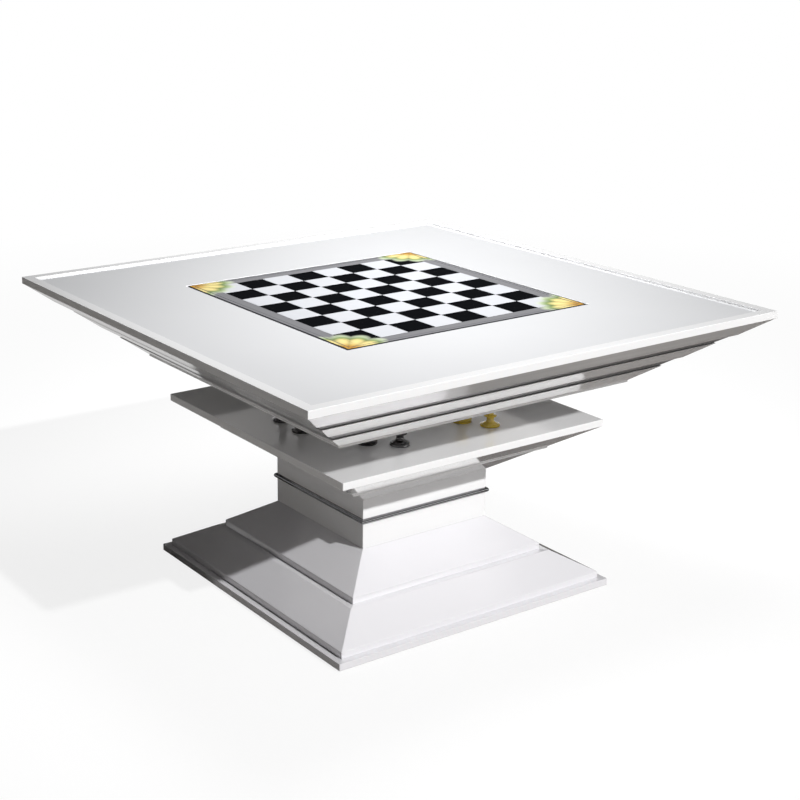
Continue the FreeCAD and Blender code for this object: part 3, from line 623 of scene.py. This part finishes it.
# Chess men: turned and lacquered hardwood pieces waiting on the shelf, four near-black and two amber,
# with broad feet and narrow waists. Their outlines are shares of the foot's radius and of the height.
# After turning, the bishop's head is sawn across and the rooks' walls are notched.
MAN_SIDES, MAN_RADIUS, MAN_CREASE = 36, 0.022, math.radians(40)
PAWN_TALL, ROOK_TALL, BISHOP_TALL = 0.056, 0.052, 0.074
FOOT = [(0.94, 0.0), (1.0, 0.012), (1.0, 0.055), (0.93, 0.085), (0.76, 0.1), (0.72, 0.125)]
PAWN_STEM = [(0.5, 0.16), (0.4, 0.21), (0.36, 0.28), (0.39, 0.35), (0.54, 0.385), (0.64, 0.4), (0.66, 0.42),
             (0.62, 0.44), (0.4, 0.46), (0.32, 0.51), (0.3, 0.56), (0.42, 0.59), (0.44, 0.61), (0.4, 0.63)]
BISHOP_STEM = [(0.5, 0.15), (0.4, 0.19), (0.36, 0.24), (0.4, 0.29), (0.58, 0.32), (0.68, 0.335), (0.7, 0.35),
               (0.66, 0.365), (0.42, 0.38), (0.31, 0.46), (0.26, 0.58), (0.42, 0.6), (0.47, 0.62),
               (0.42, 0.64), (0.27, 0.65), (0.36, 0.67), (0.36, 0.69), (0.25, 0.7), (0.4, 0.75), (0.46, 0.8),
               (0.43, 0.86), (0.3, 0.92), (0.13, 0.955), (0.17, 0.975), (0.12, 0.995), (0.03, 1.0)]
ROOK_STEM = [(0.6, 0.17), (0.5, 0.24), (0.46, 0.34), (0.46, 0.52), (0.5, 0.6), (0.62, 0.66), (0.7, 0.7),
             (0.72, 0.74), (0.72, 0.9), (0.52, 0.9), (0.5, 0.82), (0.03, 0.82)]
PAWN_HEAD_SHARE, PAWN_HEAD_MIDDLE = 0.5, 0.802
HEAD_START, HEAD_END, HEAD_STEPS = -56, 86, 9
CUT_PLACE, CUT_HEIGHT = -0.42, 0.86
CUT_WIDTH, CUT_DEPTH, CUT_LEAN = 0.0016, 0.008, math.radians(38)
MERLON_RISE, MERLON_COUNT, MERLON_SHARE = 0.1, 6, 0.66
WALL_HEIGHT, WALL_INSIDE, WALL_OUTSIDE, FACING_UP = 0.89, 0.52, 0.72, 0.9
SHELF_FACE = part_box("shelf_slab")[1].z
DARK_PAWNS = [(-0.2394, 0.0422), (-0.2446, -0.0422)]
DARK_ROOK, DARK_BISHOP = (-0.1725, -0.1848), (-0.1214, -0.2323)
AMBER_PAWN, AMBER_ROOK = (0.1179, -0.2429), (0.0845, -0.1866)
WOOD_STREAKS = {"Stretch": (90.0, 90.0, 14.0), "Detail": 4.0, "Fineness": EVEN, "Bend": 0.6}
WOOD_FINISH = {"Roughness": 0.14, "Coat Weight": 1.0, "Coat Roughness": 0.03}
EBONY = {"Ground": (0.007, 0.006, 0.006, 1), "Fleck": (0.024, 0.021, 0.02, 1), **WOOD_STREAKS}
AMBER = {"Ground": (0.55, 0.36, 0.02, 1), "Fleck": (0.88, 0.67, 0.08, 1), **WOOD_STREAKS}


def turned_man(name, tall, shares):
    outline = [(MAN_RADIUS * across, tall * up) for across, up in shares]
    bpy.ops.object.select_all(action="DESELECT")
    bpy.ops.mesh.primitive_circle_add(vertices=MAN_SIDES, radius=outline[0][0], fill_type="NGON")
    man = bpy.context.object
    man.name = name
    bpy.ops.object.mode_set(mode="EDIT")
    bpy.ops.mesh.select_mode(type="EDGE")
    bpy.ops.mesh.select_all(action="SELECT")
    follow_outline(outline[0], outline[1:])
    bpy.ops.mesh.edge_face_add()
    bpy.ops.mesh.select_all(action="SELECT")
    bpy.ops.mesh.normals_make_consistent(inside=False)
    bpy.ops.object.mode_set(mode="OBJECT")
    return man


pawn_head = []
for step in range(HEAD_STEPS + 1):
    lean = math.radians(HEAD_START + (HEAD_END - HEAD_START) * step / HEAD_STEPS)
    pawn_head.append((PAWN_HEAD_SHARE * math.cos(lean),
                      PAWN_HEAD_MIDDLE + PAWN_HEAD_SHARE * MAN_RADIUS / PAWN_TALL * math.sin(lean)))
pawn = turned_man("pawn", PAWN_TALL, FOOT + PAWN_STEM + pawn_head)
bishop = turned_man("bishop", BISHOP_TALL, FOOT + BISHOP_STEM)
bpy.ops.object.select_all(action="DESELECT")
bpy.ops.mesh.primitive_cube_add(size=1, location=(MAN_RADIUS * CUT_PLACE, 0, BISHOP_TALL * CUT_HEIGHT),
                                rotation=(0, CUT_LEAN, 0), scale=(CUT_DEPTH, MAN_RADIUS * 2, CUT_WIDTH))
saw = bpy.context.object
only_active(bishop)
sawn = bishop.modifiers.new("sawn", "BOOLEAN")
sawn.object = saw
sawn.operation = "DIFFERENCE"
bpy.ops.object.modifier_apply(modifier=sawn.name)
bpy.data.objects.remove(saw)
rook = turned_man("rook", ROOK_TALL, FOOT + ROOK_STEM)
merlon_step = 2 * math.pi / MERLON_COUNT
for face in rook.data.polygons:
    across = math.hypot(face.center.x, face.center.y) / MAN_RADIUS
    turn = math.atan2(face.center.y, face.center.x) % merlon_step
    on_top = face.center.z > ROOK_TALL * WALL_HEIGHT and face.normal.z > FACING_UP
    on_wall = WALL_INSIDE < across < WALL_OUTSIDE
    face.select = on_top and on_wall and turn < merlon_step * MERLON_SHARE
only_active(rook)
bpy.ops.object.mode_set(mode="EDIT")
bpy.ops.mesh.select_mode(type="FACE")
bpy.ops.mesh.extrude_region_move(TRANSFORM_OT_translate={"value": (0, 0, ROOK_TALL * MERLON_RISE)})
bpy.ops.object.mode_set(mode="OBJECT")
for man in (pawn, bishop, rook):
    only_active(man)
    bpy.ops.object.shade_smooth_by_angle(angle=MAN_CREASE)


def stand(model, spot):
    return copy_to(model, (spot[0], spot[1], SHELF_FACE))


dark_men = join_pieces("dark_men", [stand(pawn, spot) for spot in DARK_PAWNS]
                       + [stand(rook, DARK_ROOK), stand(bishop, DARK_BISHOP)])
amber_men = join_pieces("amber_men", [stand(pawn, AMBER_PAWN), stand(rook, AMBER_ROOK)])
dress(dark_men, grained("dark_wood", EBONY, WOOD_FINISH), "dark_wood", "dark_chess_men")
dress(amber_men, grained("amber_wood", AMBER, WOOD_FINISH), "amber_wood", "amber_chess_men")
for model in (pawn, bishop, rook):
    bpy.data.objects.remove(model)
